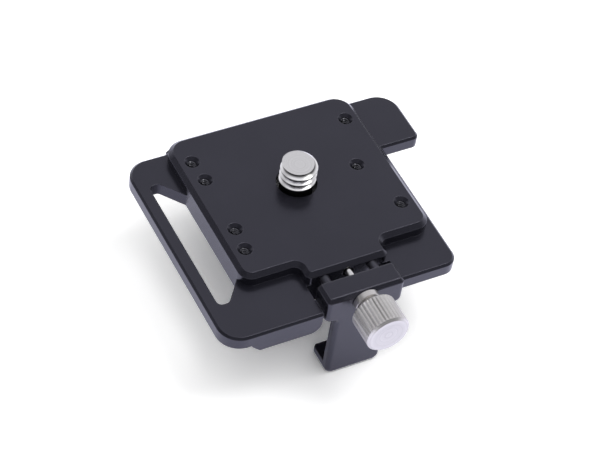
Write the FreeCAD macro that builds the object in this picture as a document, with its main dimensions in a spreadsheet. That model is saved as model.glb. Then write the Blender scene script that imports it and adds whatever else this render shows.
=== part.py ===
import FreeCAD, Part
import os
import Sketcher

# Camera plate with a sliding clamp jaw, in millimetres.
# The origin is where the camera screw's axis meets the platform's top face.
# X runs from the strap slot to the side tab, Y from the clamp jaw to the back edge, Z is up.

doc = FreeCAD.newDocument("camera_plate")
sheet = doc.addObject("Spreadsheet::Sheet", "Sizes")

SIZES = {
    # platform, with the tongue over the clamp
    "platform_width": 35.3,
    "platform_length": 32.4,
    "platform_height": 2.44,
    "platform_chamfer": 0.8,
    "platform_back_radius": 3.5,
    "platform_front_right_radius": 2.5,
    "platform_front_left_radius": 2.3,
    "tongue_width": 15.3,
    "tongue_reach": 3.3,
    "tongue_radius": 1.2,
    # base round the platform
    "base_thickness": 2.43,
    "base_edge_chamfer": 0.4,
    "base_left_reach": 25.07,
    "base_right_reach": 19.1,
    "base_front_left_reach": 25.85,
    "base_front_right_reach": 23.84,
    "ear_step_inset": 0.95,
    "ear_step_radius": 0.45,
    "ear_step_land": 0.05,
    "base_corner_radius": 4.0,
    "base_front_right_radius": 2.5,
    "tab_reach": 26.56,
    "tab_front": 3.92,
    "tab_tip_radius": 1.2,
    "tab_lip_width": 2.1,
    "tab_lip_length": 7.0,
    "tab_lip_depth": 1.0,
    # thick web under the platform
    "web_depth": 1.8,
    "web_width": 32.0,
    "web_front_setback": 1.8,
    "web_ramp": 1.5,
    "web_ramp_inset": 4.8,
    "web_slot_wall": 1.4,
    "notch_under_radius": 2.0,
    # strap slot
    "slot_bar_width": 2.2,
    "slot_back": 9.7,
    "slot_front": 18.0,
    "slot_end_width": 1.92,
    "slot_bevel_length": 4.1,
    "slot_corner_radius": 1.0,
    # clamp notch and moving jaw
    "notch_side_gap": 0.45,
    "notch_mouth_radius": 0.8,
    "jaw_width": 14.3,
    "jaw_offset": 0.2,
    "jaw_thickness": 4.1,
    "jaw_opening": 2.2,
    "jaw_head_height": 5.6,
    "jaw_total_height": 19.84,
    "jaw_leg_width": 10.2,
    "jaw_leg_thickness": 1.5,
    "jaw_toe_height": 2.2,
    "jaw_toe_reach": 1.05,
    "jaw_under_corner_radius": 1.3,
        "jaw_leg_root_radius": 0.7,
    "jaw_edge_radius": 0.8,
    "jaw_top_chamfer": 0.65,
    "jaw_toe_chamfer": 0.4,
    # fixed jaw under the back edge
    "fixed_jaw_width": 12.0,
    "fixed_leg_thickness": 2.4,
    "fixed_corner_radius": 1.2,
    # guide pins
    "pin_diameter": 1.6,
    "pin_spacing": 8.9,
    "pin_depth_in_jaw": 3.0,
    "pin_length": 14.2,
    "pin_clearance": 0.04,
    "pin_bore_spare": 3.0,
    # thumb screw
    "clamp_axis_depth": 1.75,
    "screw_thread_diameter": 2.0,
    "screw_thread_clearance": 0.05,
    "screw_neck_diameter": 1.4,
    "screw_neck_clearance": 0.075,
    "screw_shoulder_gap": 0.25,
    "screw_thread_length": 11.0,
    "screw_bore_spare": 2.6,
    "collar_diameter": 4.6,
    "collar_length": 1.2,
    "collar_gap": 0.05,
    "undercut_diameter": 3.4,
    "undercut_length": 1.1,
    "knob_diameter": 7.7,
    "knob_length": 5.9,
    "knob_rim_chamfer": 0.4,
    "knob_recess_diameter": 4.6,
    "knob_recess_depth": 0.15,
    "flute_count": 36,
    "flute_depth": 0.22,
    # camera screw
    "stud_diameter": 6.35,
    "stud_height": 4.4,
    "stud_tip_chamfer": 0.6,
    "stud_relief_diameter": 5.2,
    "stud_bore_gap": 0.35,
    "head_diameter": 12.0,
    "head_thickness": 1.9,
    "head_side_clearance": 0.06,
    "head_end_gap": 0.1,
    "head_seat_depth": 3.2,
    "hex_across_flats": 4.0,
    "hex_depth": 1.5,
    "ring_thickness": 0.5,
    "ring_groove_depth": 0.5,
    "ring_bore_diameter": 10.6,
    "ring_side_clearance": 0.05,
    # tapped holes for locating pins
    "tapped_bore": 1.6,
    "tapped_depth": 3.4,
    "tapped_lead_in": 0.55,
    "corner_hole_spacing_x": 29.4,
    "corner_hole_spacing_y": 20.7,
    "side_hole_offset_x": 14.35,
    "side_hole_spacing_y": 11.7,
    "middle_hole_offset_x": 11.6,
}

for row, (alias, number) in enumerate(SIZES.items(), start=1):
    sheet.set(f"A{row}", alias)
    sheet.set(f"B{row}", str(number))
    sheet.setAlias(f"B{row}", alias)
doc.recompute()


def terms(text):
    """Split a sum such as 'a/2 + b - c' into (sign, name, divisor) terms."""
    sign = 1
    for word in text.split():
        if word in ("+", "-"):
            sign = 1 if word == "+" else -1
            continue
        name, _, divisor = word.partition("/")
        if name.startswith("-"):
            sign = -sign
            name = name[1:]
        yield sign, name, float(divisor or 1)
        sign = 1


def value(text):
    """The number that a sum of sizes comes to."""
    return sum(sign * SIZES[name] / divisor for sign, name, divisor in terms(text))


def formula(text):
    """The same sum, as the expression that binds a property to the sheet."""
    return " ".join(
        f"{'+' if sign > 0 else '-'} Sizes.{name} / {divisor:g}" for sign, name, divisor in terms(text)
    ).lstrip("+ ")


def bind(item, path, text):
    item.setExpression(path, formula(text))


def new_body(name):
    body = doc.addObject("PartDesign::Body", name)
    body.Label = name
    return body


def plane_sketch(body, name, plane, offset):
    """An empty sketch on one of the body's own planes, moved along its normal."""
    sketch = body.newObject("Sketcher::SketchObject", name)
    support = next(item for item in body.Origin.OriginFeatures if item.Role == plane)
    sketch.AttachmentSupport = (support, [""])
    sketch.MapMode = "FlatFace"
    if offset:
        bind(sketch, "AttachmentOffset.Base.z", offset)
    return sketch


def hold_point(sketch, geometry, end, across, up):
    """Hold one point of a sketch by a sum of sizes each way, or on the axis where a sum is empty."""
    for kind, text, axis in (("DistanceX", across, -2), ("DistanceY", up, -1)):
        if not text:
            sketch.addConstraint(Sketcher.Constraint("PointOnObject", geometry, end, axis))
            continue
        number = sketch.addConstraint(Sketcher.Constraint(kind, -1, 1, geometry, end, value(text)))
        bind(sketch, f"Constraints[{number}]", text)


def polygon_sketch(body, name, corners, plane="XY_Plane", offset=""):
    """A closed outline whose corners are each held by two sums of sizes."""
    sketch = plane_sketch(body, name, plane, offset)
    points = [FreeCAD.Vector(value(across), value(up), 0) for across, up in corners]
    for index, start in enumerate(points):
        sketch.addGeometry(Part.LineSegment(start, points[(index + 1) % len(points)]), False)
    for index in range(len(points)):
        following = (index + 1) % len(points)
        sketch.addConstraint(Sketcher.Constraint("Coincident", index, 2, following, 1))
    for index, (across, up) in enumerate(corners):
        hold_point(sketch, index, 1, across, up)
    return sketch


def circle_sketch(body, name, centres, diameter, plane="XY_Plane", offset=""):
    """Circles of one diameter, each centre held by two sums of sizes."""
    sketch = plane_sketch(body, name, plane, offset)
    for index, (across, up) in enumerate(centres):
        centre = FreeCAD.Vector(value(across), value(up), 0)
        sketch.addGeometry(Part.Circle(centre, FreeCAD.Vector(0, 0, 1), value(diameter) / 2), False)
        hold_point(sketch, index, 3, across, up)
        number = sketch.addConstraint(Sketcher.Constraint("Diameter", index, value(diameter)))
        bind(sketch, f"Constraints[{number}]", diameter)
    return sketch


def pad(body, name, sketch, length, reverse=False):
    feature = body.newObject("PartDesign::Pad", name)
    feature.Profile = sketch
    bind(feature, "Length", length)
    feature.Reversed = reverse
    doc.recompute()
    return feature


def pocket(body, name, sketch, length="", reverse=False):
    """Cut a sketch to a depth, or right through both ways where no depth is given."""
    before = body.Shape.Volume
    feature = body.newObject("PartDesign::Pocket", name)
    feature.Profile = sketch
    if length:
        bind(feature, "Length", length)
        feature.Reversed = reverse
    else:
        feature.Type = "ThroughAll"
        feature.Midplane = True
    doc.recompute()
    if body.Shape.Volume > before - 1e-6:
        raise ValueError(f"{name} removes nothing")
    return feature


def dress(body, name, kind, size, chosen):
    """Fillet or chamfer the edges of the body's tip that a test picks."""
    base = body.Tip
    edges = [f"Edge{number}" for number, edge in enumerate(base.Shape.Edges, start=1) if chosen(edge)]
    if not edges:
        raise ValueError(f"{name} finds no edge")
    feature = body.newObject(f"PartDesign::{kind}", name)
    feature.Base = (base, edges)
    bind(feature, "Radius" if kind == "Fillet" else "Size", size)
    doc.recompute()
    if "Invalid" in feature.State:
        raise ValueError(f"{name} does not build")
    return feature


def near(first, second):
    return abs(first - second) < 1e-4


def ends(edge):
    return [vertex.Point for vertex in edge.Vertexes]


def upright_at(corners, low=None, high=None):
    """A test for straight upright edges that stand over any of the given corners."""
    places = [(value(across), value(deep)) for across, deep in corners]

    def chosen(edge):
        points = ends(edge)
        if len(points) != 2 or not (near(points[0].x, points[1].x) and near(points[0].y, points[1].y)):
            return False
        heights = sorted(point.z for point in points)
        if low is not None and heights[0] < value(low) - 1e-4:
            return False
        if high is not None and heights[1] > value(high) + 1e-4:
            return False
        return any(near(points[0].x, x) and near(points[0].y, y) for x, y in places)

    return chosen


def along_y_at(places, height):
    """A test for straight edges that run front to back at one height and any of the given places."""

    def chosen(edge):
        points = ends(edge)
        if len(points) != 2 or near(points[0].y, points[1].y):
            return False
        level = all(near(point.z, value(height)) for point in points)
        return level and any(all(near(point.x, value(place)) for point in points) for place in places)

    return chosen


# Levels and lines that several pieces share
PLATFORM_FOOT = "-platform_height"
BASE_UNDER = "-platform_height - base_thickness"
WEB_UNDER = "-platform_height - base_thickness - web_depth"
PLATFORM_FRONT = "-platform_length/2"
PLATFORM_BACK = "platform_length/2"
TONGUE_FRONT = "-platform_length/2 - tongue_reach"
EAR_BACK = "platform_length/2 - ear_step_radius - ear_step_land"
JAW_BACK = "-platform_length/2 - tongue_reach - jaw_opening"
JAW_FRONT = "-platform_length/2 - tongue_reach - jaw_opening - jaw_thickness"
TOE_TIP = "-platform_length/2 - tongue_reach - jaw_opening + jaw_toe_reach"
HEAD_LEFT = "-jaw_width/2 + jaw_offset"
HEAD_RIGHT = "jaw_width/2 + jaw_offset"
LEG_LEFT = "-jaw_leg_width/2 + jaw_offset"
LEG_RIGHT = "jaw_leg_width/2 + jaw_offset"
NOTCH_SIDE = "jaw_width/2 + notch_side_gap"
CLAMP_AXIS = "-clamp_axis_depth"
TONGUE_REACH = "platform_length/2 + tongue_reach"
HEAD_TOP = f"{WEB_UNDER} + head_seat_depth - head_end_gap"
HEAD_SEAT = "head_diameter + head_side_clearance + head_side_clearance"
RING_TOP = f"{HEAD_TOP} - head_thickness - head_end_gap"
NECK_BORE = "screw_neck_diameter + screw_neck_clearance + screw_neck_clearance"


def make_plate():
    body = new_body("plate")

    # raised platform with its tongue
    platform = [
        ("-platform_width/2", PLATFORM_BACK),
        ("-platform_width/2", PLATFORM_FRONT),
        ("-tongue_width/2", PLATFORM_FRONT),
        ("-tongue_width/2", TONGUE_FRONT),
        ("tongue_width/2", TONGUE_FRONT),
        ("tongue_width/2", PLATFORM_FRONT),
        ("platform_width/2", PLATFORM_FRONT),
        ("platform_width/2", PLATFORM_BACK),
    ]
    platform_sketch = polygon_sketch(body, "platform_outline", platform, offset=PLATFORM_FOOT)
    pad(body, "platform", platform_sketch, "platform_height")
    dress(body, "platform_back_corners", "Fillet", "platform_back_radius",
          upright_at([platform[0], platform[7]]))
    dress(body, "platform_right_corner", "Fillet", "platform_front_right_radius",
          upright_at([platform[6]]))
    dress(body, "platform_left_corner", "Fillet", "platform_front_left_radius", upright_at([platform[1]]))
    dress(body, "tongue_corners", "Fillet", "tongue_radius", upright_at(platform[2:6]))
    dress(body, "platform_rim", "Chamfer", "platform_chamfer", lambda edge: level_edge(edge, ""))

    # base: ears, front bars, side notch and tab, round the clamp notch
    outline = [
        ("-base_left_reach", EAR_BACK),
        ("-base_left_reach", "-base_front_left_reach"),
        ("-jaw_width/2 - notch_side_gap", "-base_front_left_reach"),
        ("-jaw_width/2 - notch_side_gap", TONGUE_FRONT),
        (NOTCH_SIDE, TONGUE_FRONT),
        (NOTCH_SIDE, "-base_front_right_reach"),
        ("base_right_reach", "-base_front_right_reach"),
        ("base_right_reach", "tab_front"),
        ("tab_reach", "tab_front"),
        ("tab_reach", EAR_BACK),
        ("platform_width/2 - ear_step_inset", EAR_BACK),
        ("platform_width/2 - ear_step_inset", PLATFORM_BACK),
        ("-platform_width/2 + ear_step_inset", PLATFORM_BACK),
        ("-platform_width/2 + ear_step_inset", EAR_BACK),
    ]
    base_sketch = polygon_sketch(body, "base_outline", outline, offset=BASE_UNDER)
    pad(body, "base", base_sketch, "base_thickness")

    # thick web that carries the clamp, with its left front bar in line with the base's front
    web = [
        ("-web_width/2", EAR_BACK),
        ("-web_width/2", "-slot_front - web_slot_wall"),
        ("-base_left_reach + web_ramp_inset", "-slot_front - web_slot_wall"),
        ("-base_left_reach + web_ramp_inset", "-base_front_left_reach"),
        ("-jaw_width/2 - notch_side_gap", "-base_front_left_reach"),
        ("-jaw_width/2 - notch_side_gap", TONGUE_FRONT),
        (NOTCH_SIDE, TONGUE_FRONT),
        (NOTCH_SIDE, "-base_front_right_reach + web_front_setback"),
        ("web_width/2", "-base_front_right_reach + web_front_setback"),
        ("web_width/2", EAR_BACK),
    ]
    web_sketch = polygon_sketch(body, "web_outline", web, offset=BASE_UNDER)
    pad(body, "web", web_sketch, "web_depth", reverse=True)
    dress(body, "notch_under_edge", "Fillet", "notch_under_radius",
          along_y_at(["-jaw_width/2 - notch_side_gap"], WEB_UNDER))
    dress(body, "web_ramp_edge", "Chamfer", "web_ramp",
          along_y_at(["-base_left_reach + web_ramp_inset"], WEB_UNDER))

    # upright corners of the base and the bevel round its rim
    dress(body, "ear_corners", "Fillet", "base_corner_radius",
          upright_at([outline[0], outline[1], outline[9]]))
    dress(body, "front_right_corner", "Fillet", "base_front_right_radius", upright_at([outline[6]]))
    dress(body, "tab_tip", "Fillet", "tab_tip_radius", upright_at([outline[8]]))
    dress(body, "ear_steps", "Fillet", "ear_step_radius", upright_at([outline[10], outline[13]]))
    dress(body, "notch_mouth", "Fillet", "notch_mouth_radius", upright_at([outline[5]]))
    dress(body, "base_rim", "Chamfer", "base_edge_chamfer", base_rim_edge)

    # strap slot: its inner wall carries straight on up into the platform's side
    slot = [
        ("-base_left_reach + slot_bar_width", "slot_back"),
        ("-base_left_reach + slot_bar_width", "-slot_front"),
        ("-base_left_reach + slot_bar_width + slot_end_width", "-slot_front"),
        ("-platform_width/2", "-slot_front + slot_bevel_length"),
        ("-platform_width/2", "slot_back - slot_bevel_length"),
        ("-base_left_reach + slot_bar_width + slot_end_width", "slot_back"),
    ]
    pocket(body, "strap_slot", polygon_sketch(body, "slot_outline", slot))
    dress(body, "slot_corners", "Fillet", "slot_corner_radius",
          upright_at([slot[0], slot[1], slot[2], slot[5]]))

    # lip under the tab's outer edge
    lip = [
        ("tab_reach - tab_lip_width", "tab_front + tab_tip_radius"),
        ("tab_reach", "tab_front + tab_tip_radius"),
        ("tab_reach", "tab_front + tab_lip_length"),
        ("tab_reach - tab_lip_width", "tab_front + tab_lip_length"),
    ]
    lip_sketch = polygon_sketch(body, "lip_outline", lip, offset=BASE_UNDER)
    pad(body, "lip", lip_sketch, "tab_lip_depth", reverse=True)

    # fixed jaw: a leg down from the back edge, with a toe that turns under towards the moving jaw
    hook = [
        (PLATFORM_BACK, BASE_UNDER),
        (PLATFORM_BACK, "-jaw_total_height"),
        ("platform_length/2 - jaw_thickness - jaw_toe_reach", "-jaw_total_height"),
        ("platform_length/2 - jaw_thickness - jaw_toe_reach", "-jaw_total_height + jaw_toe_height"),
        ("platform_length/2 - fixed_leg_thickness", "-jaw_total_height + jaw_toe_height"),
        ("platform_length/2 - fixed_leg_thickness", BASE_UNDER),
    ]
    hook_sketch = polygon_sketch(body, "hook_profile", hook, plane="YZ_Plane")
    hook_pad = pad(body, "hook", hook_sketch, "fixed_jaw_width")
    hook_pad.Midplane = True
    doc.recompute()
    dress(body, "hook_corners", "Fillet", "fixed_corner_radius",
          along_y_at(["-fixed_jaw_width/2", "fixed_jaw_width/2"], "-jaw_total_height"))

    # camera screw: through bore, head seat from below and the groove of its retaining ring
    axis = [("", "")]
    bore = circle_sketch(body, "stud_bore_circle", axis, "stud_diameter + stud_bore_gap + stud_bore_gap")
    pocket(body, "stud_bore", bore)
    seat = circle_sketch(body, "head_seat_circle", axis, HEAD_SEAT, offset=WEB_UNDER)
    pocket(body, "head_seat", seat, "head_seat_depth", reverse=True)
    groove = circle_sketch(body, "ring_groove_circle", axis,
                           f"{HEAD_SEAT} + ring_groove_depth + ring_groove_depth",
                           offset=f"{RING_TOP} - ring_thickness - ring_side_clearance")
    pocket(body, "ring_groove", groove,
           "ring_thickness + ring_side_clearance + ring_side_clearance", reverse=True)

    # tapped holes for locating pins, each with a lead-in
    corner_x = "corner_hole_spacing_x/2"
    corner_y = "corner_hole_spacing_y/2"
    side_y = "side_hole_spacing_y/2"
    holes = [
        (f"-{corner_x}", corner_y),
        (f"-{corner_x}", f"-{corner_y}"),
        (corner_x, corner_y),
        (corner_x, f"-{corner_y}"),
        ("-side_hole_offset_x", side_y),
        ("-side_hole_offset_x", f"-{side_y}"),
        ("middle_hole_offset_x", ""),
    ]
    pocket(body, "tapped_holes", circle_sketch(body, "hole_circles", holes, "tapped_bore"), "tapped_depth")
    dress(body, "lead_ins", "Chamfer", "tapped_lead_in",
          lambda edge: rim_circle(edge, value("tapped_bore") / 2, 0))

    # guide pin bores and the clamp screw's tapped bore, from the notch wall inwards
    pins = [("-pin_spacing/2", CLAMP_AXIS), ("pin_spacing/2", CLAMP_AXIS)]
    pin_bores = circle_sketch(body, "pin_bore_circles", pins, "pin_diameter + pin_clearance + pin_clearance",
                              plane="XZ_Plane", offset=TONGUE_REACH)
    pocket(body, "pin_bores", pin_bores,
           "pin_length - pin_depth_in_jaw - jaw_opening + pin_bore_spare")
    screw_bore = circle_sketch(body, "screw_bore_circle", [("", CLAMP_AXIS)],
                               "screw_thread_diameter + screw_thread_clearance + screw_thread_clearance",
                               plane="XZ_Plane", offset=TONGUE_REACH)
    pocket(body, "screw_bore", screw_bore,
           "screw_thread_length + screw_shoulder_gap - jaw_opening + screw_bore_spare")
    return body


def with_middle(edge):
    """The edge's end points and the point half way along it."""
    return ends(edge) + [edge.valueAt((edge.FirstParameter + edge.LastParameter) / 2)]


def level_edge(edge, height):
    return all(near(point.z, value(height)) for point in with_middle(edge))


def base_rim_edge(edge):
    """Edges at the base's top that lie on its outline, away from the platform's foot."""
    if not level_edge(edge, PLATFORM_FOOT):
        return False
    middle = with_middle(edge)[-1]
    beside_notch = near(abs(middle.x), value(NOTCH_SIDE))
    before_tongue = middle.y < value(TONGUE_FRONT) - 1e-3 and not beside_notch
    side = value("platform_width/2 - ear_step_inset") - 1e-3
    beside = abs(middle.x) > side and not on_platform_outline(middle)
    return before_tongue or beside


def on_platform_outline(point):
    """Whether a point lies on or inside the platform's outline, its corners rounded."""
    return abs(point.x) < value("platform_width/2") + 1e-3 and point.y < value(EAR_BACK) - 1e-3


def rim_circle(edge, radius, height):
    curve = edge.Curve
    return isinstance(curve, Part.Circle) and near(curve.Radius, radius) and near(curve.Center.z, height)


def make_jaw():
    body = new_body("jaw")
    front_normal = "platform_length/2 + tongue_reach + jaw_opening"

    # front view: a wide head on a narrower leg
    outline = [
        (HEAD_LEFT, ""),
        (HEAD_LEFT, "-jaw_head_height"),
        (LEG_LEFT, "-jaw_head_height"),
        (LEG_LEFT, "-jaw_total_height"),
        (LEG_RIGHT, "-jaw_total_height"),
        (LEG_RIGHT, "-jaw_head_height"),
        (HEAD_RIGHT, "-jaw_head_height"),
        (HEAD_RIGHT, ""),
    ]
    sketch = polygon_sketch(body, "jaw_outline", outline, plane="XZ_Plane", offset=front_normal)
    pad(body, "jaw_block", sketch, "jaw_thickness")

    # side view: the throat leaves the head above and a thin leg, then the toe goes on further back
    throat = [
        (JAW_BACK, WEB_UNDER),
        (JAW_BACK, "-jaw_total_height + jaw_toe_height"),
        (f"{JAW_FRONT} + jaw_leg_thickness", "-jaw_total_height + jaw_toe_height"),
        (f"{JAW_FRONT} + jaw_leg_thickness", WEB_UNDER),
    ]
    pocket(body, "throat", polygon_sketch(body, "throat_profile", throat, plane="YZ_Plane"))
    toe = [
        (LEG_LEFT, JAW_BACK),
        (LEG_LEFT, TOE_TIP),
        (LEG_RIGHT, TOE_TIP),
        (LEG_RIGHT, JAW_BACK),
    ]
    toe_sketch = polygon_sketch(body, "toe_outline", toe, offset="-jaw_total_height")
    pad(body, "toe", toe_sketch, "jaw_toe_height")

    dress(body, "head_under_corners", "Fillet", "jaw_under_corner_radius",
          along_y_at([HEAD_LEFT, HEAD_RIGHT], "-jaw_head_height"))
    dress(body, "toe_corners", "Fillet", "jaw_under_corner_radius",
          along_y_at([LEG_LEFT, LEG_RIGHT], "-jaw_total_height"))
    dress(body, "leg_roots", "Fillet", "jaw_leg_root_radius",
          along_y_at([LEG_LEFT, LEG_RIGHT], "-jaw_head_height"))
    dress(body, "front_edges", "Fillet", "jaw_edge_radius", jaw_front_edge)
    dress(body, "top_rim", "Chamfer", "jaw_top_chamfer", jaw_top_edge)
    dress(body, "toe_tip_corners", "Chamfer", "jaw_toe_chamfer",
          upright_at([(LEG_LEFT, TOE_TIP), (LEG_RIGHT, TOE_TIP)]))

    # blind seats of the guide pins and the neck's bore
    pins = [("-pin_spacing/2", CLAMP_AXIS), ("pin_spacing/2", CLAMP_AXIS)]
    seats = circle_sketch(body, "pin_seat_circles", pins, "pin_diameter",
                          plane="XZ_Plane", offset=front_normal)
    pocket(body, "pin_seats", seats, "pin_depth_in_jaw", reverse=True)
    neck = circle_sketch(body, "neck_bore_circle", [("", CLAMP_AXIS)], NECK_BORE, plane="XZ_Plane")
    pocket(body, "neck_bore", neck)
    return body


def jaw_front_edge(edge):
    """Edges of the jaw's front face, apart from the one along its top."""
    points = with_middle(edge)
    on_front = all(near(point.y, value(JAW_FRONT)) for point in points)
    return on_front and not all(near(point.z, 0) for point in points)


def jaw_top_edge(edge):
    """Edges of the jaw's top face, apart from the one along its back."""
    points = with_middle(edge)
    on_top = all(near(point.z, 0) for point in points)
    return on_top and not all(near(point.y, value(JAW_BACK)) for point in points)


def make_guide_pin(name, across):
    """A plain dowel pin, pressed into the jaw and sliding in the plate."""
    pin = doc.addObject("Part::Cylinder", name)
    pin.Label = name
    bind(pin, "Radius", "pin_diameter/2")
    bind(pin, "Height", "pin_length")
    pin.Placement.Rotation = FreeCAD.Rotation(FreeCAD.Vector(1, 0, 0), -90)
    bind(pin, "Placement.Base.x", across)
    bind(pin, "Placement.Base.y", f"{JAW_BACK} - pin_depth_in_jaw")
    bind(pin, "Placement.Base.z", CLAMP_AXIS)
    return pin


def revolve(body, name, sketch):
    feature = body.newObject("PartDesign::Revolution", name)
    feature.Profile = sketch
    feature.ReferenceAxis = (sketch, ["V_Axis"])
    feature.Angle = 360
    doc.recompute()
    return feature


def make_thumb_screw():
    """A turned screw on its own Z axis, tip up, then laid along the clamp axis."""
    body = new_body("thumb_screw")
    collar_foot = "-collar_gap"
    collar_top = "-collar_gap - collar_length"
    knob_foot = "-collar_gap - collar_length - undercut_length"
    knob_end = "-collar_gap - collar_length - undercut_length - knob_length"
    shoulder = "jaw_thickness + screw_shoulder_gap"
    tip = "jaw_thickness + screw_shoulder_gap + screw_thread_length"
    recess_floor = f"{knob_end} + knob_recess_depth"
    profile = [
        ("", recess_floor),
        ("knob_recess_diameter/2 - knob_recess_depth", recess_floor),
        ("knob_recess_diameter/2", knob_end),
        ("knob_diameter/2 - knob_rim_chamfer", knob_end),
        ("knob_diameter/2", f"{knob_end} + knob_rim_chamfer"),
        ("knob_diameter/2", f"{knob_foot} - knob_rim_chamfer"),
        ("knob_diameter/2 - knob_rim_chamfer", knob_foot),
        ("undercut_diameter/2", knob_foot),
        ("undercut_diameter/2", collar_top),
        ("collar_diameter/2", collar_top),
        ("collar_diameter/2", collar_foot),
        ("screw_neck_diameter/2", collar_foot),
        ("screw_neck_diameter/2", shoulder),
        ("screw_thread_diameter/2", shoulder),
        ("screw_thread_diameter/2", tip),
        ("", tip),
    ]
    revolve(body, "turned_form", polygon_sketch(body, "turned_profile", profile, plane="XZ_Plane"))

    # straight knurl: one flute cut along the rim, then repeated round the axis
    flute = [
        ("knob_diameter/2 - flute_depth", ""),
        ("knob_diameter/2 + flute_depth", "flute_depth + flute_depth"),
        ("knob_diameter/2 + flute_depth", "-flute_depth - flute_depth"),
    ]
    flute_sketch = polygon_sketch(body, "flute_outline", flute, offset=knob_end)
    cut = pocket(body, "flute", flute_sketch, "knob_length", reverse=True)
    pattern = body.newObject("PartDesign::PolarPattern", "knurl")
    pattern.Originals = [cut]
    pattern.Axis = (flute_sketch, ["N_Axis"])
    pattern.Angle = 360
    bind(pattern, "Occurrences", "flute_count")
    body.Tip = pattern
    doc.recompute()
    body.Placement.Rotation = FreeCAD.Rotation(FreeCAD.Vector(1, 0, 0), -90)
    bind(body, "Placement.Base.y", JAW_FRONT)
    bind(body, "Placement.Base.z", CLAMP_AXIS)
    return body


def make_camera_screw():
    """The camera screw: a threaded stud on a round head with a hex socket from below."""
    body = new_body("camera_screw")
    head_foot = f"{HEAD_TOP} - head_thickness"
    profile = [
        ("", head_foot),
        ("head_diameter/2", head_foot),
        ("head_diameter/2", HEAD_TOP),
        ("stud_relief_diameter/2", HEAD_TOP),
        ("stud_relief_diameter/2", ""),
        ("stud_diameter/2", ""),
        ("stud_diameter/2", "stud_height - stud_tip_chamfer"),
        ("stud_diameter/2 - stud_tip_chamfer", "stud_height"),
        ("", "stud_height"),
    ]
    revolve(body, "turned_form", polygon_sketch(body, "stud_profile", profile, plane="XZ_Plane"))
    socket = plane_sketch(body, "hex_outline", "XY_Plane", head_foot)
    corner_radius = value("hex_across_flats") / 3 ** 0.5
    turns = [FreeCAD.Rotation(FreeCAD.Vector(0, 0, 1), 60 * step) for step in range(6)]
    points = [turn.multVec(FreeCAD.Vector(corner_radius, 0, 0)) for turn in turns]
    for index, start in enumerate(points):
        socket.addGeometry(Part.LineSegment(start, points[(index + 1) % 6]), False)
    for index in range(6):
        socket.addConstraint(Sketcher.Constraint("Coincident", index, 2, (index + 1) % 6, 1))
    centre = FreeCAD.Vector(0, 0, 0)
    guide = socket.addGeometry(Part.Circle(centre, FreeCAD.Vector(0, 0, 1), corner_radius), True)
    socket.addConstraint(Sketcher.Constraint("Coincident", guide, 3, -1, 1))
    for index in range(6):
        socket.addConstraint(Sketcher.Constraint("PointOnObject", index, 1, guide))
    for index in range(5):
        socket.addConstraint(Sketcher.Constraint("Equal", index, index + 1))
    socket.addConstraint(Sketcher.Constraint("PointOnObject", 0, 1, -1))
    number = socket.addConstraint(Sketcher.Constraint("Diameter", guide, 2 * corner_radius))
    socket.setExpression(f"Constraints[{number}]", "2 * Sizes.hex_across_flats / sqrt(3)")
    doc.recompute()
    pocket(body, "hex_socket", socket, "hex_depth", reverse=True)
    return body


def make_retaining_ring():
    """An open ring sprung into the groove under the camera screw's head."""
    body = new_body("retaining_ring")
    outer = "head_diameter/2 + head_side_clearance + ring_groove_depth - ring_side_clearance"
    profile = [
        ("ring_bore_diameter/2", f"{RING_TOP} - ring_thickness"),
        (outer, f"{RING_TOP} - ring_thickness"),
        (outer, RING_TOP),
        ("ring_bore_diameter/2", RING_TOP),
    ]
    revolve(body, "ring_form", polygon_sketch(body, "ring_profile", profile, plane="XZ_Plane"))
    gap = [
        ("-ring_thickness - ring_thickness", "ring_bore_diameter/4"),
        ("ring_thickness + ring_thickness", "ring_bore_diameter/4"),
        ("ring_thickness + ring_thickness", "ring_bore_diameter"),
        ("-ring_thickness - ring_thickness", "ring_bore_diameter"),
    ]
    pocket(body, "ring_gap", polygon_sketch(body, "gap_outline", gap))
    return body


pieces = [
    make_plate(),
    make_camera_screw(),
    make_retaining_ring(),
    make_jaw(),
    make_guide_pin("guide_pin_left", "-pin_spacing/2"),
    make_guide_pin("guide_pin_right", "pin_spacing/2"),
    make_thumb_screw(),
]
doc.recompute()

for item in doc.Objects:
    if {"Invalid", "Error"} & set(item.State):
        raise RuntimeError(f"{item.Name} did not build: {item.State}")
for piece in pieces:
    if piece.Shape.isNull() or not piece.Shape.isValid():
        raise RuntimeError(f"{piece.Label} has no valid shape")

os.makedirs("parts", exist_ok=True)
for piece in pieces:
    piece.Shape.exportStep(f"parts/{piece.Label}.step")
    box = piece.Shape.BoundBox
    sides = (box.XMin, box.XMax, box.YMin, box.YMax, box.ZMin, box.ZMax)
    reach = " ".join(f"{side:7.2f}" for side in sides)
    print(f"{piece.Label:18s} solids {len(piece.Shape.Solids)}  volume {piece.Shape.Volume:9.2f}  box {reach}")
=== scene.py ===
import math

import bmesh
import bpy
from mathutils import Matrix, Vector


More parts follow.
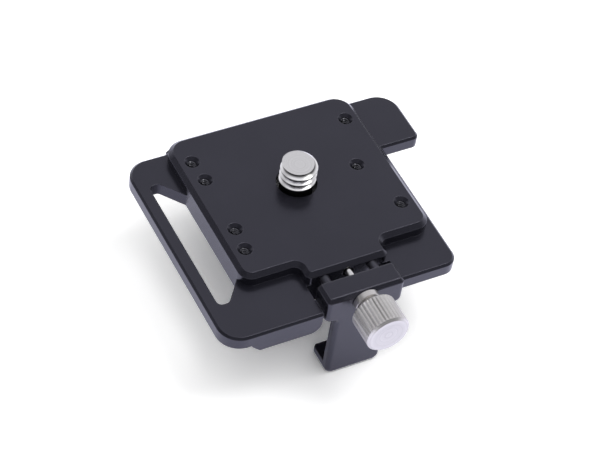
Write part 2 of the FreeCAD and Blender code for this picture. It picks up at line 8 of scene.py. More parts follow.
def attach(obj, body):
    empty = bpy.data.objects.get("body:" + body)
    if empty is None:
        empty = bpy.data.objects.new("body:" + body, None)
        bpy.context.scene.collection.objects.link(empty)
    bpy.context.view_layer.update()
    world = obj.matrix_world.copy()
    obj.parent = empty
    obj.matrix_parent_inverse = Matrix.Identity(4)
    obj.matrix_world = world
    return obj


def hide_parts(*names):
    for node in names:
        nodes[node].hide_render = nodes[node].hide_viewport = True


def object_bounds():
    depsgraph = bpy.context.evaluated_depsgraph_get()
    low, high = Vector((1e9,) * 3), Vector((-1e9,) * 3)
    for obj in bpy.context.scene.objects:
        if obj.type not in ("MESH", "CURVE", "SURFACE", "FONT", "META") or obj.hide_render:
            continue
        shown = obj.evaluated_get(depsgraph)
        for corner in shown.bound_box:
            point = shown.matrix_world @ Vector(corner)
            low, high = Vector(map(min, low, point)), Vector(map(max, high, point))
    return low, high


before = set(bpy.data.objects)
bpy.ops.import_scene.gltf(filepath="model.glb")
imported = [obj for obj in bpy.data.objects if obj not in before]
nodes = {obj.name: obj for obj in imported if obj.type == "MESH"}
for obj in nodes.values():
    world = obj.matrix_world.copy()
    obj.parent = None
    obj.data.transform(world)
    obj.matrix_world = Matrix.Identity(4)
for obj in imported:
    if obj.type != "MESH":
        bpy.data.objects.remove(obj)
cad_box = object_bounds()
scene = bpy.context.scene
MM = 0.001

# Plate: one block of aluminium, milled on every side, bead-blasted and anodised black.
# The blasting leaves a fine even grain, and a painted highlight, a lighter colour, runs along the
# outer edges.


def add_node(tree, kind, place, **settings):
    node = tree.nodes.new(kind)
    node.location = place
    for name, setting in settings.items():
        setattr(node, name, setting)
    return node


def empty_material(name):
    """A material with a Principled shader on its output and nothing else."""
    material = bpy.data.materials.new(name)
    material.use_nodes = True
    tree = material.node_tree
    tree.nodes.clear()
    output = add_node(tree, "ShaderNodeOutputMaterial", (500, 0))
    shader = add_node(tree, "ShaderNodeBsdfPrincipled", (200, 0))
    tree.links.new(shader.outputs["BSDF"], output.inputs["Surface"])
    return material, tree, shader


def noise(tree, place, scale, detail=3.0, stretch=(1.0, 1.0, 1.0)):
    """Noise that sits still on the piece, at a scale in cells for each metre."""
    spot = add_node(tree, "ShaderNodeTexCoord", (place[0] - 400, place[1]))
    mapping = add_node(tree, "ShaderNodeMapping", (place[0] - 200, place[1]))
    mapping.inputs["Scale"].default_value = stretch
    texture = add_node(tree, "ShaderNodeTexNoise", place)
    texture.inputs["Scale"].default_value = scale
    texture.inputs["Detail"].default_value = detail
    tree.links.new(spot.outputs["Object"], mapping.inputs["Vector"])
    tree.links.new(mapping.outputs["Vector"], texture.inputs["Vector"])
    return texture.outputs["Fac"]


def ramp(tree, place, factor, stops):
    """A colour ramp over a factor, from two pairs of (position, colour)."""
    node = add_node(tree, "ShaderNodeValToRGB", place)
    elements = node.color_ramp.elements
    for element, (position, colour) in zip(elements, stops):
        element.position = position
        element.color = (*colour, 1.0)
    tree.links.new(factor, node.inputs["Fac"])
    return node.outputs["Color"]


MARK_DEPTH = 0.01 * MM


def surface_marks(tree, place, height, strength, base=None):
    """A normal with shallow marks in it, on top of another normal if one is given."""
    node = add_node(tree, "ShaderNodeBump", place)
    if base:
        tree.links.new(base, node.inputs["Normal"])
    node.inputs["Strength"].default_value = strength
    node.inputs["Distance"].default_value = MARK_DEPTH
    tree.links.new(height, node.inputs["Height"])
    return node.outputs["Normal"]


def dress(piece, material):
    """Put one material on every slot of a piece."""
    piece.data.materials.clear()
    piece.data.materials.append(material)
    for face in piece.data.polygons:
        face.material_index = 0


EDGE_SAMPLES = 6
LEAN_START = 0.995
LEAN_FULL = 0.90
SKY_REACH = 3
SKY_CORNER = 0.60
SKY_OPEN = 0.85


def edge_mask(tree, place, radius):
    """1 on outer edges and 0 elsewhere, and a normal that is rounded over on outer edges alone.

    An edge shows in how far a rounded-over normal leans from the true one; an inner corner is told
    from an outer edge by how little of the sky it sees."""
    rounded = add_node(tree, "ShaderNodeBevel", place)
    rounded.samples = EDGE_SAMPLES
    rounded.inputs["Radius"].default_value = radius
    true = add_node(tree, "ShaderNodeNewGeometry", (place[0], place[1] - 200))
    lean = add_node(tree, "ShaderNodeVectorMath", (place[0] + 200, place[1]),
                    operation="DOT_PRODUCT")
    tree.links.new(rounded.outputs["Normal"], lean.inputs[0])
    tree.links.new(true.outputs["Normal"], lean.inputs[1])
    spread = add_node(tree, "ShaderNodeMapRange", (place[0] + 400, place[1]))
    spread.inputs["From Min"].default_value = LEAN_START
    spread.inputs["From Max"].default_value = LEAN_FULL
    tree.links.new(lean.outputs["Value"], spread.inputs["Value"])
    sky = add_node(tree, "ShaderNodeAmbientOcclusion", (place[0], place[1] + 200),
                   samples=EDGE_SAMPLES, only_local=True)
    sky.inputs["Distance"].default_value = SKY_REACH * radius
    outer = add_node(tree, "ShaderNodeMapRange", (place[0] + 200, place[1] + 200))
    outer.inputs["From Min"].default_value = SKY_CORNER
    outer.inputs["From Max"].default_value = SKY_OPEN
    tree.links.new(sky.outputs["AO"], outer.inputs["Value"])
    mask = add_node(tree, "ShaderNodeMath", (place[0] + 600, place[1]), operation="MULTIPLY")
    tree.links.new(spread.outputs["Result"], mask.inputs[0])
    tree.links.new(outer.outputs["Result"], mask.inputs[1])
    facing = add_node(tree, "ShaderNodeMix", (place[0] + 600, place[1] + 200),
                      data_type="VECTOR")
    tree.links.new(outer.outputs["Result"], facing.inputs["Factor"])
    tree.links.new(true.outputs["Normal"], facing.inputs["A"])
    tree.links.new(rounded.outputs["Normal"], facing.inputs["B"])
    return mask.outputs["Value"], facing.outputs["Result"]


ANODISE_DARK = (0.0055, 0.0055, 0.0085)
ANODISE_LIGHT = (0.0085, 0.0085, 0.0125)
# Painted highlight: the lighter colour laid along outer edges.
ANODISE_EDGE_HIGHLIGHT = (0.040, 0.040, 0.047)
ANODISE_TINT = (0.84, 0.83, 1.0, 1.0)
ANODISE_IOR = 1.60
ANODISE_ROUGHNESS = (0.20, 0.29)
BLAST_CELLS = 6500
BLAST_STRENGTH = 0.3
CLOUD_CELLS = 90
CLOUD_STOPS = (0.35, 0.7)
EDGE_RADIUS = 0.14 * MM


def anodised_aluminium(name, edge_radius):
    material, tree, shader = empty_material(name)
    clouds = noise(tree, (-500, 250), CLOUD_CELLS, 4.0)
    body = ramp(tree, (-250, 250), clouds, zip(CLOUD_STOPS, (ANODISE_DARK, ANODISE_LIGHT)))
    # The edge mask lays a painted highlight, a lighter colour, along the outer edges; inner corners
    # get none.
    edge_highlight, rounded = edge_mask(tree, (-900, 700), edge_radius)
    mix = add_node(tree, "ShaderNodeMix", (0, 350), data_type="RGBA")
    tree.links.new(edge_highlight, mix.inputs["Factor"])
    tree.links.new(body, mix.inputs["A"])
    mix.inputs["B"].default_value = (*ANODISE_EDGE_HIGHLIGHT, 1.0)
    tree.links.new(mix.outputs["Result"], shader.inputs["Base Color"])
    grain = noise(tree, (-500, -350), BLAST_CELLS, 2.0)
    spread = add_node(tree, "ShaderNodeMapRange", (-250, -80))
    tree.links.new(grain, spread.inputs["Value"])
    spread.inputs["To Min"].default_value = ANODISE_ROUGHNESS[0]
    spread.inputs["To Max"].default_value = ANODISE_ROUGHNESS[1]
    tree.links.new(spread.outputs["Result"], shader.inputs["Roughness"])
    marks = surface_marks(tree, (-100, -350), grain, BLAST_STRENGTH, rounded)
    tree.links.new(marks, shader.inputs["Normal"])
    shader.inputs["IOR"].default_value = ANODISE_IOR
    shader.inputs["Specular Tint"].default_value = ANODISE_TINT
    return material


anodised = anodised_aluminium("black_anodised_aluminium", EDGE_RADIUS)
dress(nodes["plate"], anodised)

# Jaw: milled from the same bar as the plate, blasted and dyed in the same batch.
# It hangs on two guide pins and the thumb screw draws it in; its edges are rounded over wider in the
# shading than the plate's, with a wider painted highlight along them.
JAW_EDGE_RADIUS = 0.30 * MM
dress(nodes["jaw"], anodised_aluminium("wide_highlight_anodised_aluminium", JAW_EDGE_RADIUS))

# Guide pins and the ring that keeps the camera screw: hardened steel with a black oxide coat.
# The pins are ground before they are blackened, so they stay smooth along their length.
OXIDE_DARK = (0.026, 0.026, 0.033)
OXIDE_LIGHT = (0.066, 0.066, 0.084)
OXIDE_STOPS = (0.3, 0.75)
OXIDE_METALLIC = 0.6
OXIDE_ROUGHNESS = 0.35
GRIND_CELLS = 900
GRIND_STRETCH = (1.0, 0.08, 1.0)
GRIND_STRENGTH = 0.2


def black_steel(name):
    material, tree, shader = empty_material(name)
    streaks = noise(tree, (-500, 200), GRIND_CELLS, stretch=GRIND_STRETCH)
    colour = ramp(tree, (-250, 200), streaks, zip(OXIDE_STOPS, (OXIDE_DARK, OXIDE_LIGHT)))
    tree.links.new(colour, shader.inputs["Base Color"])
    marks = surface_marks(tree, (-100, -300), streaks, GRIND_STRENGTH)
    tree.links.new(marks, shader.inputs["Normal"])
    shader.inputs["Metallic"].default_value = OXIDE_METALLIC
    shader.inputs["Roughness"].default_value = OXIDE_ROUGHNESS
    return material


oxide = black_steel("black_oxide_steel")
for name in ("guide_pin_left", "guide_pin_right", "retaining_ring"):
    dress(nodes[name], oxide)

# Camera screw: a quarter-inch stud turned from stainless bar, its thread cut with a die down to a
# relief neck. A round head below the platform carries it, with a hex socket for a key. Shade is
# painted dark into the thread's grooves and the hex socket, and the neck is coloured near black as
# painted shade.
STUD_RADIUS = 3.175 * MM
STUD_PITCH = 1.27 * MM
STUD_TOP = 4.4 * MM
STUD_CHAMFER = 0.06 * MM
STUD_RELIEF = 2.9 * MM
THREAD_FOOT = 0.70 * MM
THREAD_LEAD = 0.44
HEAD_TOP = -3.57 * MM
HEAD_FOOT = -5.47 * MM
HEAD_RADIUS = 6.0 * MM
HEAD_CHAMFER = 0.3 * MM
HEX_REACH = 2.0 * MM
HEX_DEPTH = 1.5 * MM
# Painted shade in the thread's grooves and the hex socket: darkest this far in from the crest, gone
# this far in.
GROOVE_FLOOR = 0.62 * MM
GROOVE_SHADE_END = 0.30 * MM
JOIN_OVERLAP = 0.1 * MM
STUD_ROUGHNESS = 0.17
NECK_ROUGHNESS = 0.40
STUD_CREASE = 15
AROUND = 120


def finished(mesh, name):
    """Turn a finished bmesh into a piece of the scene."""
    bmesh.ops.recalc_face_normals(mesh, faces=mesh.faces)
    data = bpy.data.meshes.new(name)
    mesh.to_mesh(data)
    mesh.free()
    piece = bpy.data.objects.new(name, data)
    scene.collection.objects.link(piece)
    return piece


def ring_mesh(name, rings, around=AROUND):
    """A piece skinned over rings round its Z axis, each a height and a radius, or a function that
    gives the radius from the turn; the first and last ring are closed with a face."""
    mesh = bmesh.new()
    rows = []
    for height, radii in rings:
        row = []
        for step in range(around):
            turn = 2 * math.pi * step / around
            radius = radii(turn) if callable(radii) else radii
            spot = (radius * math.cos(turn), radius * math.sin(turn), height)
            row.append(mesh.verts.new(spot))
        rows.append(row)
    for lower, upper in zip(rows, rows[1:]):
        for step in range(around):
            after = (step + 1) % around
            mesh.faces.new((lower[step], lower[after], upper[after], upper[step]))
    mesh.faces.new(list(reversed(rows[0])))
    mesh.faces.new(rows[-1])
    return finished(mesh, name)


def smooth_by_angle(piece, degrees):
    """Shade smooth, with a crisp line wherever faces meet at more than an angle."""
    mesh = bmesh.new()
    mesh.from_mesh(piece.data)
    for face in mesh.faces:
        face.smooth = True
    for edge in mesh.edges:
        if len(edge.link_faces) == 2 and edge.calc_face_angle() > math.radians(degrees):
            edge.smooth = False
    mesh.to_mesh(piece.data)
    mesh.free()


# One pitch of a thread, as (share of the pitch, depth in pitches), with crest and root eased.
THREAD_PROFILE = [(0.0, 0.03), (0.035, 0.0), (0.105, 0.0), (0.14, 0.03),
                  (0.44, 0.57), (0.48, 0.60), (0.62, 0.60), (0.66, 0.57)]
SAME_HEIGHT = 1e-7


def threaded_rod(name, foot, top, radius, pitch, chamfer, lead=0.0, around=AROUND):
    """A right-hand 60 degree thread between two heights, with its top end chamfered.

    lead is where in a turn the thread starts. The rows follow the helix and run past both heights,
    and are then cut off square there and closed."""
    mesh = bmesh.new()
    turns = math.ceil((top - foot) / pitch)
    levels = [(turn + share, depth)
              for turn in range(-2, turns + 2) for share, depth in THREAD_PROFILE]
    rows = []
    for level, depth in levels:
        row = []
        for step in range(around):
            turn = step / around
            height = foot + (level + turn - lead) * pitch
            rim = min(radius - depth * pitch, radius - chamfer + max(0.0, top - height))
            angle = 2 * math.pi * turn
            spot = (rim * math.cos(angle), rim * math.sin(angle), height)
            row.append(mesh.verts.new(spot))
        rows.append(row)
    for index in range(len(rows) - 1):
        for step in range(around):
            beside = index if step + 1 < around else index + len(THREAD_PROFILE)
            if beside + 1 < len(rows):
                after = (step + 1) % around
                mesh.faces.new((rows[index][step], rows[beside][after],
                                rows[beside + 1][after], rows[index + 1][step]))
    for height, side in ((foot, -1), (top, 1)):
        everything = mesh.verts[:] + mesh.edges[:] + mesh.faces[:]
        bmesh.ops.bisect_plane(mesh, geom=everything, plane_co=(0, 0, height),
                               plane_no=(0, 0, side), clear_outer=True)
        rim = [edge for edge in mesh.edges if edge.is_boundary
               and all(abs(vert.co.z - height) < SAME_HEIGHT for vert in edge.verts)]
        bmesh.ops.contextual_create(mesh, geom=rim)
    return finished(mesh, name)


STUD_DARK = (0.72, 0.71, 0.69)
STUD_LIGHT = (0.86, 0.85, 0.83)
# The neck's near-black colour is painted shade under the thread.
NECK_DARK = (0.030, 0.030, 0.032)
NECK_LIGHT = (0.055, 0.055, 0.058)
TURNING_CELLS = 9000
TURNING_STOPS = (0.3, 0.7)
TURNING_STRENGTH = 0.3
# How far the painted shade in the grooves darkens the colour.
GROOVE_SHADE_LEVEL = 0.10
END_FACE_DEPTH = 0.02 * MM


def turned_steel(name, roughness, dark, light, groove_shade=None):
    """Metal with fine turning marks round its own Z axis.

    The last argument, if given, paints shade into a thread's grooves, darker towards the axis: the
    reach from the axis at which the painted shade is darkest, the reach at which it ends, and the
    height of the end face, which it leaves unshaded."""
    material, tree, shader = empty_material(name)
    spot = add_node(tree, "ShaderNodeTexCoord", (-1100, 0))
    split = add_node(tree, "ShaderNodeSeparateXYZ", (-900, 0))
    tree.links.new(spot.outputs["Object"], split.inputs["Vector"])
    across = add_node(tree, "ShaderNodeVectorMath", (-900, -200), operation="MULTIPLY")
    across.inputs[1].default_value = (1.0, 1.0, 0.0)
    tree.links.new(spot.outputs["Object"], across.inputs[0])
    reach = add_node(tree, "ShaderNodeVectorMath", (-700, -200), operation="LENGTH")
    tree.links.new(across.outputs["Vector"], reach.inputs[0])
    join = add_node(tree, "ShaderNodeCombineXYZ", (-500, -100))
    tree.links.new(reach.outputs["Value"], join.inputs["X"])
    tree.links.new(split.outputs["Z"], join.inputs["Z"])
    marks = add_node(tree, "ShaderNodeTexNoise", (-300, -100))
    marks.inputs["Scale"].default_value = TURNING_CELLS
    marks.inputs["Detail"].default_value = 2.0
    tree.links.new(join.outputs["Vector"], marks.inputs["Vector"])
    colour = ramp(tree, (-80, 200), marks.outputs["Fac"], zip(TURNING_STOPS, (dark, light)))
    # Painted shade: the colour is darkened towards the axis, but not on the end face.
    if groove_shade:
        inner, outer, face = groove_shade
        shade_fade = add_node(tree, "ShaderNodeMapRange", (-500, 400))
        end_face = add_node(tree, "ShaderNodeMapRange", (-500, 650))
        for node, part, start, end, least in (
                (shade_fade, reach.outputs["Value"], inner, outer, GROOVE_SHADE_LEVEL),
                (end_face, split.outputs["Z"], face - END_FACE_DEPTH, face, 0.0)):
            tree.links.new(part, node.inputs["Value"])
            node.inputs["From Min"].default_value = start
            node.inputs["From Max"].default_value = end
            node.inputs["To Min"].default_value = least
        level = add_node(tree, "ShaderNodeMath", (-250, 500), operation="MAXIMUM")
        tree.links.new(shade_fade.outputs["Result"], level.inputs[0])
        tree.links.new(end_face.outputs["Result"], level.inputs[1])
        shaded = add_node(tree, "ShaderNodeVectorMath", (0, 400), operation="SCALE")
        tree.links.new(colour, shaded.inputs["Vector"])
        tree.links.new(level.outputs["Value"], shaded.inputs["Scale"])
        colour = shaded.outputs["Vector"]
    tree.links.new(colour, shader.inputs["Base Color"])
    scored = surface_marks(tree, (-50, -300), marks.outputs["Fac"], TURNING_STRENGTH)
    tree.links.new(scored, shader.inputs["Normal"])
    shader.inputs["Metallic"].default_value = 1.0
    shader.inputs["Roughness"].default_value = roughness
    return material


def hexagon(reach):
    """A hexagon's rim, from the distance between its middle and its flats."""
    def radii(turn):
        return reach / math.cos((turn + math.pi / 6) % (math.pi / 3) - math.pi / 6)
    return radii


stud_head_rings = [
    (HEAD_FOOT + HEX_DEPTH, hexagon(HEX_REACH)),
    (HEAD_FOOT, hexagon(HEX_REACH)),
    (HEAD_FOOT, HEAD_RADIUS - HEAD_CHAMFER),
    (HEAD_FOOT + HEAD_CHAMFER, HEAD_RADIUS),
    (HEAD_TOP, HEAD_RADIUS),
]
stud_head = ring_mesh("camera_screw_head", stud_head_rings)
neck_rings = [(HEAD_TOP - JOIN_OVERLAP, STUD_RELIEF), (THREAD_FOOT + JOIN_OVERLAP, STUD_RELIEF)]
neck = ring_mesh("camera_screw_neck", neck_rings)
stud = threaded_rod("camera_screw_thread", THREAD_FOOT, STUD_TOP, STUD_RADIUS, STUD_PITCH,
                    STUD_CHAMFER, THREAD_LEAD)
# The stud's steel carries painted shade in the thread's grooves and the hex socket.
stud_steel = turned_steel("camera_screw_steel", STUD_ROUGHNESS, STUD_DARK, STUD_LIGHT,
                          (STUD_RADIUS - GROOVE_FLOOR, STUD_RADIUS - GROOVE_SHADE_END, STUD_TOP))
# The neck is coloured near black as painted shade.
neck_shade_steel = turned_steel("camera_screw_neck_steel", NECK_ROUGHNESS, NECK_DARK, NECK_LIGHT)
for piece, steel in ((stud_head, stud_steel), (neck, neck_shade_steel), (stud, stud_steel)):
    smooth_by_angle(piece, STUD_CREASE)
    dress(piece, steel)
    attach(piece, "camera_screw")
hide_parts("camera_screw")

# Thumb screw: turned in one piece from stainless bar, with a straight knurl rolled on its head.
# Its neck turns in the jaw between a collar and a shoulder, runs smooth and bare across the gap,
# and ends in a fine thread that draws the jaw along the guide pins.
CLAMP_AXIS = (0.0, -25.8 * MM, -1.75 * MM)
KNOB_RADIUS = 3.85 * MM
KNOB_END = -8.25 * MM
KNOB_FOOT = -2.35 * MM
KNOB_CHAMFER = 0.4 * MM
RECESS_RADIUS = 2.3 * MM
RECESS_DEPTH = 0.10 * MM
RECESS_SLOPE = 0.25 * MM
RECESS_PIP = 0.15 * MM
FLUTES = 36
FLUTE_DEPTH = 0.17 * MM
FLUTE_HALF_WIDTH = 0.34
FLUTE_RUN_OUT = 0.5 * MM
UNDERCUT_RADIUS = 1.7 * MM
COLLAR_RADIUS = 2.3 * MM
COLLAR_FOOT = -0.05 * MM
COLLAR_TOP = -1.25 * MM
COLLAR_CHAMFER = 0.1 * MM
NECK_RADIUS = 0.70 * MM
SHOULDER = 4.35 * MM
SHANK_RADIUS = 1.0 * MM
SHOULDER_WIDTH = 0.3 * MM
SHOULDER_CHAMFER = 0.1 * MM
SHOULDER_SINK = 0.02 * MM
SHANK_THREAD_FOOT = 6.6 * MM
SHANK_TIP = 15.35 * MM
SHANK_PITCH = 0.40 * MM
SHANK_CHAMFER = 0.3 * MM
KNOB_AROUND = FLUTES * 12
SHANK_AROUND = 48
KNOB_CREASE = 28
SHOULDER_CREASE = 30
SHANK_CREASE = 32
KNOB_ROUGHNESS = 0.32
SHANK_ROUGHNESS = 0.18
KNOB_DARK = (0.50, 0.485, 0.465)
KNOB_LIGHT = (0.66, 0.64, 0.615)


def fluted(radius, depth):
    """A rim with V grooves cut into it, narrower than the lands between them."""
    def radii(turn):
        phase = (turn * FLUTES / (2 * math.pi)) % 1.0
        return radius - depth * max(0.0, 1 - abs(phase - 0.5) / FLUTE_HALF_WIDTH)
    return radii


knob_rings = [
    (KNOB_END + RECESS_DEPTH, RECESS_PIP),
    (KNOB_END + RECESS_DEPTH, RECESS_RADIUS - RECESS_SLOPE),
    (KNOB_END, RECESS_RADIUS),
    (KNOB_END, KNOB_RADIUS - KNOB_CHAMFER),
    (KNOB_END + KNOB_CHAMFER / 2, fluted(KNOB_RADIUS - KNOB_CHAMFER / 2, 0.0)),
    (KNOB_END + KNOB_CHAMFER, fluted(KNOB_RADIUS, FLUTE_DEPTH / 4)),
    (KNOB_END + KNOB_CHAMFER + FLUTE_RUN_OUT, fluted(KNOB_RADIUS, FLUTE_DEPTH)),
    (KNOB_FOOT - KNOB_CHAMFER - FLUTE_RUN_OUT, fluted(KNOB_RADIUS, FLUTE_DEPTH)),
    (KNOB_FOOT - KNOB_CHAMFER, fluted(KNOB_RADIUS, FLUTE_DEPTH / 4)),
    (KNOB_FOOT - KNOB_CHAMFER / 2, fluted(KNOB_RADIUS - KNOB_CHAMFER / 2, 0.0)),
    (KNOB_FOOT, KNOB_RADIUS - KNOB_CHAMFER),
    (KNOB_FOOT, UNDERCUT_RADIUS),
    (COLLAR_TOP, UNDERCUT_RADIUS),
    (COLLAR_TOP, COLLAR_RADIUS - COLLAR_CHAMFER),
    (COLLAR_TOP + COLLAR_CHAMFER, COLLAR_RADIUS),
    (COLLAR_FOOT - COLLAR_CHAMFER, COLLAR_RADIUS),
    (COLLAR_FOOT, COLLAR_RADIUS - COLLAR_CHAMFER),
    (COLLAR_FOOT, NECK_RADIUS),
    (SHOULDER, NECK_RADIUS),
]
knob = ring_mesh("thumb_screw_head", knob_rings, KNOB_AROUND)
smooth_by_angle(knob, KNOB_CREASE)
shoulder_rings = [
    (SHOULDER - SHOULDER_SINK, NECK_RADIUS),
    (SHOULDER, SHANK_RADIUS - SHOULDER_CHAMFER),
    (SHOULDER + SHOULDER_CHAMFER, SHANK_RADIUS),
    (SHOULDER + SHOULDER_WIDTH, SHANK_RADIUS),
    (SHOULDER + SHOULDER_WIDTH, NECK_RADIUS),
    (SHANK_THREAD_FOOT + JOIN_OVERLAP, NECK_RADIUS),
]
shoulder = ring_mesh("thumb_screw_shoulder", shoulder_rings, SHANK_AROUND)
smooth_by_angle(shoulder, SHOULDER_CREASE)
shank = threaded_rod("thumb_screw_shank", SHANK_THREAD_FOOT, SHANK_TIP, SHANK_RADIUS, SHANK_PITCH,
                     SHANK_CHAMFER, around=SHANK_AROUND)
smooth_by_angle(shank, SHANK_CREASE)
knob_steel = turned_steel("thumb_screw_steel", KNOB_ROUGHNESS, KNOB_DARK, KNOB_LIGHT)
neck_steel = turned_steel("thumb_screw_neck_steel", SHANK_ROUGHNESS, STUD_DARK, STUD_LIGHT)
lay_down = Matrix.Translation(CLAMP_AXIS) @ Matrix.Rotation(math.radians(-90), 4, "X")
for piece, steel in ((knob, knob_steel), (shoulder, neck_steel), (shank, neck_steel)):
    dress(piece, steel)
    piece.matrix_world = lay_down
    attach(piece, "thumb_screw")
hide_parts("thumb_screw")

# Pin holes: the seven small holes are tapped M2, and a tap leaves its thread from below the lead-in.
# Each thread is a thin right-hand ridge on the bore's wall, dark and glossier than the blasted faces.
HOLE_CENTRES = [(-14.7, 10.35), (-14.7, -10.35), (14.7, 10.35), (14.7, -10.35),
                (-14.35, 5.85), (-14.35, -5.85), (11.6, 0.0)]
HOLE_RADIUS = 0.8 * MM
HOLE_PITCH = 0.4 * MM
HOLE_RIDGE = 0.19 * MM
RIDGE_FOOT = 0.28
HOLE_TOP = -0.6 * MM
HOLE_FOOT = -3.3 * MM
HOLE_STEPS = 20
HOLE_CREASE = 30


def inner_thread(name, centre):
    """A ridge of triangular section that winds up a bore's wall, closed at both ends."""
    mesh = bmesh.new()
    turns = (HOLE_TOP - HOLE_FOOT) / HOLE_PITCH
    section = ((HOLE_RADIUS, RIDGE_FOOT), (HOLE_RADIUS - HOLE_RIDGE, 0.0),
               (HOLE_RADIUS, -RIDGE_FOOT))
    sections = []
    for index in range(round(turns * HOLE_STEPS) + 1):
        turn = 2 * math.pi * index / HOLE_STEPS
        height = HOLE_FOOT + HOLE_PITCH * index / HOLE_STEPS
        corners = []
        for radius, lift in section:
            x = centre[0] * MM + radius * math.cos(turn)
            y = centre[1] * MM + radius * math.sin(turn)
            corners.append(mesh.verts.new((x, y, height + lift * HOLE_PITCH)))
        sections.append(corners)
    for first, second in zip(sections, sections[1:]):
        for corner in range(3):
            after = (corner + 1) % 3
            mesh.faces.new((first[corner], first[after], second[after], second[corner]))
    mesh.faces.new(list(reversed(sections[0])))
    mesh.faces.new(sections[-1])
    return finished(mesh, name)


TAPPED_DARK = (0.03, 0.03, 0.033)
TAPPED_LIGHT = (0.10, 0.10, 0.11)
TAPPED_ROUGHNESS = 0.14
tapped = turned_steel("tapped_aluminium", TAPPED_ROUGHNESS, TAPPED_DARK, TAPPED_LIGHT)
for number, centre in enumerate(HOLE_CENTRES, start=1):
    ridge = inner_thread(f"tapped_thread_{number}", centre)
    smooth_by_angle(ridge, HOLE_CREASE)
    dress(ridge, tapped)
    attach(ridge, "plate")

# Floor: a plain white table, seamless behind the object.
# It looks brighter than paper to the camera and in reflections, as an overexposed table does, and
# keeps the object's soft shadow.
FLOOR_HEIGHT = cad_box[0][2]
FLOOR_HALF_WIDTH = 1.5
FLOOR_ROUGHNESS = 0.9
floor_mesh = bmesh.new()
bmesh.ops.create_grid(floor_mesh, x_segments=2, y_segments=2, size=FLOOR_HALF_WIDTH)
floor_data = bpy.data.meshes.new("table")
floor_mesh.to_mesh(floor_data)
floor_mesh.free()
floor = bpy.data.objects.new("table", floor_data)
floor.location = (0, 0, FLOOR_HEIGHT)
scene.collection.objects.link(floor)
FLOOR_COLOUR = (0.92, 0.92, 0.92, 1.0)
FLOOR_SEEN = (1.40, 1.40, 1.40, 1.0)
FLOOR_MIRRORED = (1.20, 1.20, 1.43, 1.0)
paper, paper_tree, paper_shader = empty_material("white_table")
paper_shader.inputs["Roughness"].default_value = FLOOR_ROUGHNESS
paper_shader.inputs["Specular IOR Level"].default_value = 0.0
paper_rays = add_node(paper_tree, "ShaderNodeLightPath", (-500, 0))
paper_colour = paper_shader.inputs["Base Color"]
for ray, seen in (("Is Camera Ray", FLOOR_SEEN), ("Is Glossy Ray", FLOOR_MIRRORED),
                  ("Is Transmission Ray", FLOOR_MIRRORED)):
    paper_mix = add_node(paper_tree, "ShaderNodeMix", (-200, 0), data_type="RGBA")
    paper_mix.clamp_result = False
    paper_mix.inputs["A"].default_value = FLOOR_COLOUR
    paper_mix.inputs["B"].default_value = seen
    paper_tree.links.new(paper_rays.outputs[ray], paper_mix.inputs["Factor"])
    paper_tree.links.new(paper_mix.outputs["Result"], paper_colour)
    paper_colour = paper_mix.inputs["A"]
dress(floor, paper)

# Light: one large soft lamp above and to the right, in a pale room. Mirrored in the object, the room
# is dimmer in front, to the left and high up behind. To the camera it is white, like the table.
LAMP_PLACE = (0.30, -0.10, 0.75)
LAMP_SIZE = 0.4
LAMP_POWER = 1.7


def soft_lamp(name, place, size, power):
    lamp = bpy.data.lights.new(name, "AREA")
    lamp.size = size
    lamp.energy = power
    holder = bpy.data.objects.new(name, lamp)
    holder.location = place
    holder.rotation_euler = (Vector((0, 0, 0)) - Vector(place)).to_track_quat("-Z", "Y").to_euler()
    scene.collection.objects.link(holder)


soft_lamp("top_lamp", LAMP_PLACE, LAMP_SIZE, LAMP_POWER)

# Each shade of the room: the axis it runs along, where it starts, where it is full, and its level.
OVERHEAD = ("Z", 0.0, 1.0, 0.85)
UNDER_LAMP = ("Z", 0.90, 0.72, 1.0)
OFF_TABLE = ("Z", 0.08, 0.38, 1.0)
FRONT_DIM = ("Y", 0.15, -0.60, 0.70)
LEFT_DIM = ("X", -0.15, -0.75, 0.80)
BEHIND = ("Y", 0.05, 0.45, 0.26)
RAISED = ("Z", 0.50, 0.72, 1.0)
ROOM_LEVEL = 0.28
ROOM_TINT = (0.93, 0.93, 1.0, 1.0)
WHITE = (1.0, 1.0, 1.0, 1.0)
world = bpy.data.worlds.new("pale_room")
scene.world = world
world.use_nodes = True
room = world.node_tree
room.nodes.clear()
room_output = add_node(room, "ShaderNodeOutputWorld", (900, 0))
direction = add_node(room, "ShaderNodeTexCoord", (-900, 0))
parts = add_node(room, "ShaderNodeSeparateXYZ", (-700, 0))
room.links.new(direction.outputs["Generated"], parts.inputs["Vector"])


def between(place, shade):
    """A shade: 0 up to its start, and rising to its level where it is full."""
    axis, start, full, level = shade
    spread = add_node(room, "ShaderNodeMapRange", place)
    spread.interpolation_type = "SMOOTHSTEP"
    numbers = {"From Min": start, "From Max": full, "To Min": 0.0, "To Max": level}
    for name, number in numbers.items():
        spread.inputs[name].default_value = number
    room.links.new(parts.outputs[axis], spread.inputs["Value"])
    return spread.outputs["Result"]


def joined(place, operation, first, second):
    node = add_node(room, "ShaderNodeMath", place, operation=operation)
    for socket, item in zip(node.inputs, (first, second)):
        if isinstance(item, float):
            socket.default_value = item
        else:
            room.links.new(item, socket)
    return node.outputs["Value"]


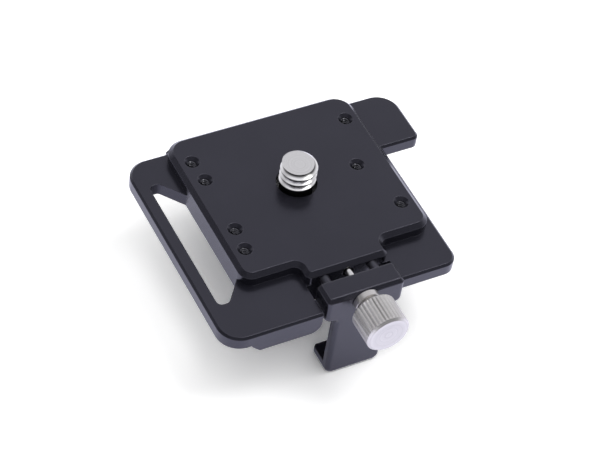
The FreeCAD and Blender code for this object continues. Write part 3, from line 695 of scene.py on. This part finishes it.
under_lamp = between((-450, 300), UNDER_LAMP)
off_table = between((-450, 50), OFF_TABLE)
front_dim = between((-450, -200), FRONT_DIM)
left_dim = between((-450, -450), LEFT_DIM)
side_dim = joined((-200, -300), "MAXIMUM", front_dim, left_dim)
low_dim = joined((0, -150), "MULTIPLY", side_dim, off_table)
behind = between((-450, 500), BEHIND)
raised = between((-450, 700), RAISED)
back_dim = joined((0, 600), "MULTIPLY", behind, raised)
beside_lamp = joined((-50, 100), "MULTIPLY", low_dim, under_lamp)
dim = joined((0, 100), "MAXIMUM", beside_lamp, back_dim)
mirrored = joined((100, 0), "SUBTRACT", 1.0, dim)
room_mirrored = add_node(room, "ShaderNodeBackground", (200, 100))
room_mirrored.inputs["Color"].default_value = ROOM_TINT
room.links.new(mirrored, room_mirrored.inputs["Strength"])
room_light = add_node(room, "ShaderNodeBackground", (200, 300))
overhead = between((-100, 350), OVERHEAD)
room.links.new(joined((50, 350), "ADD", overhead, ROOM_LEVEL), room_light.inputs["Strength"])
room_seen = add_node(room, "ShaderNodeBackground", (200, -100))
for shade in (room_light, room_seen):
    shade.inputs["Color"].default_value = WHITE
rays = add_node(room, "ShaderNodeLightPath", (-200, 500))
off_gloss = joined((200, 500), "MAXIMUM",
                   rays.outputs["Is Glossy Ray"], rays.outputs["Is Transmission Ray"])
gloss_mix = add_node(room, "ShaderNodeMixShader", (450, 150))
room.links.new(off_gloss, gloss_mix.inputs["Fac"])
room.links.new(room_light.outputs["Background"], gloss_mix.inputs[1])
room.links.new(room_mirrored.outputs["Background"], gloss_mix.inputs[2])
room_mix = add_node(room, "ShaderNodeMixShader", (680, 0))
room.links.new(rays.outputs["Is Camera Ray"], room_mix.inputs["Fac"])
room.links.new(gloss_mix.outputs["Shader"], room_mix.inputs[1])
room.links.new(room_seen.outputs["Background"], room_mix.inputs[2])
room.links.new(room_mix.outputs["Shader"], room_output.inputs["Surface"])
scene.view_settings.view_transform = "Standard"

# Camera: a long lens from the left front, well above the table and rolled a little.
# Its lens, place and turn are those of the camera that was fitted to the photo.
SENSOR_WIDTH = 36.0
LENS = 140.75
PLACE = Vector((-149.95, -224.78, 289.50)) * MM
RIGHT = Vector((0.88806, -0.44468, 0.11666))
UP = Vector((0.26582, 0.70372, 0.65889))
BACK = Vector((-0.37508, -0.55412, 0.74314))
camera_data = bpy.data.cameras.new("camera")
camera_data.sensor_fit = "HORIZONTAL"
camera_data.sensor_width = SENSOR_WIDTH
camera_data.lens = LENS
camera = bpy.data.objects.new("camera", camera_data)
turned = Matrix((RIGHT, UP, BACK)).transposed().to_4x4()
camera.matrix_world = Matrix.Translation(PLACE) @ turned
scene.collection.objects.link(camera)
scene.camera = camera
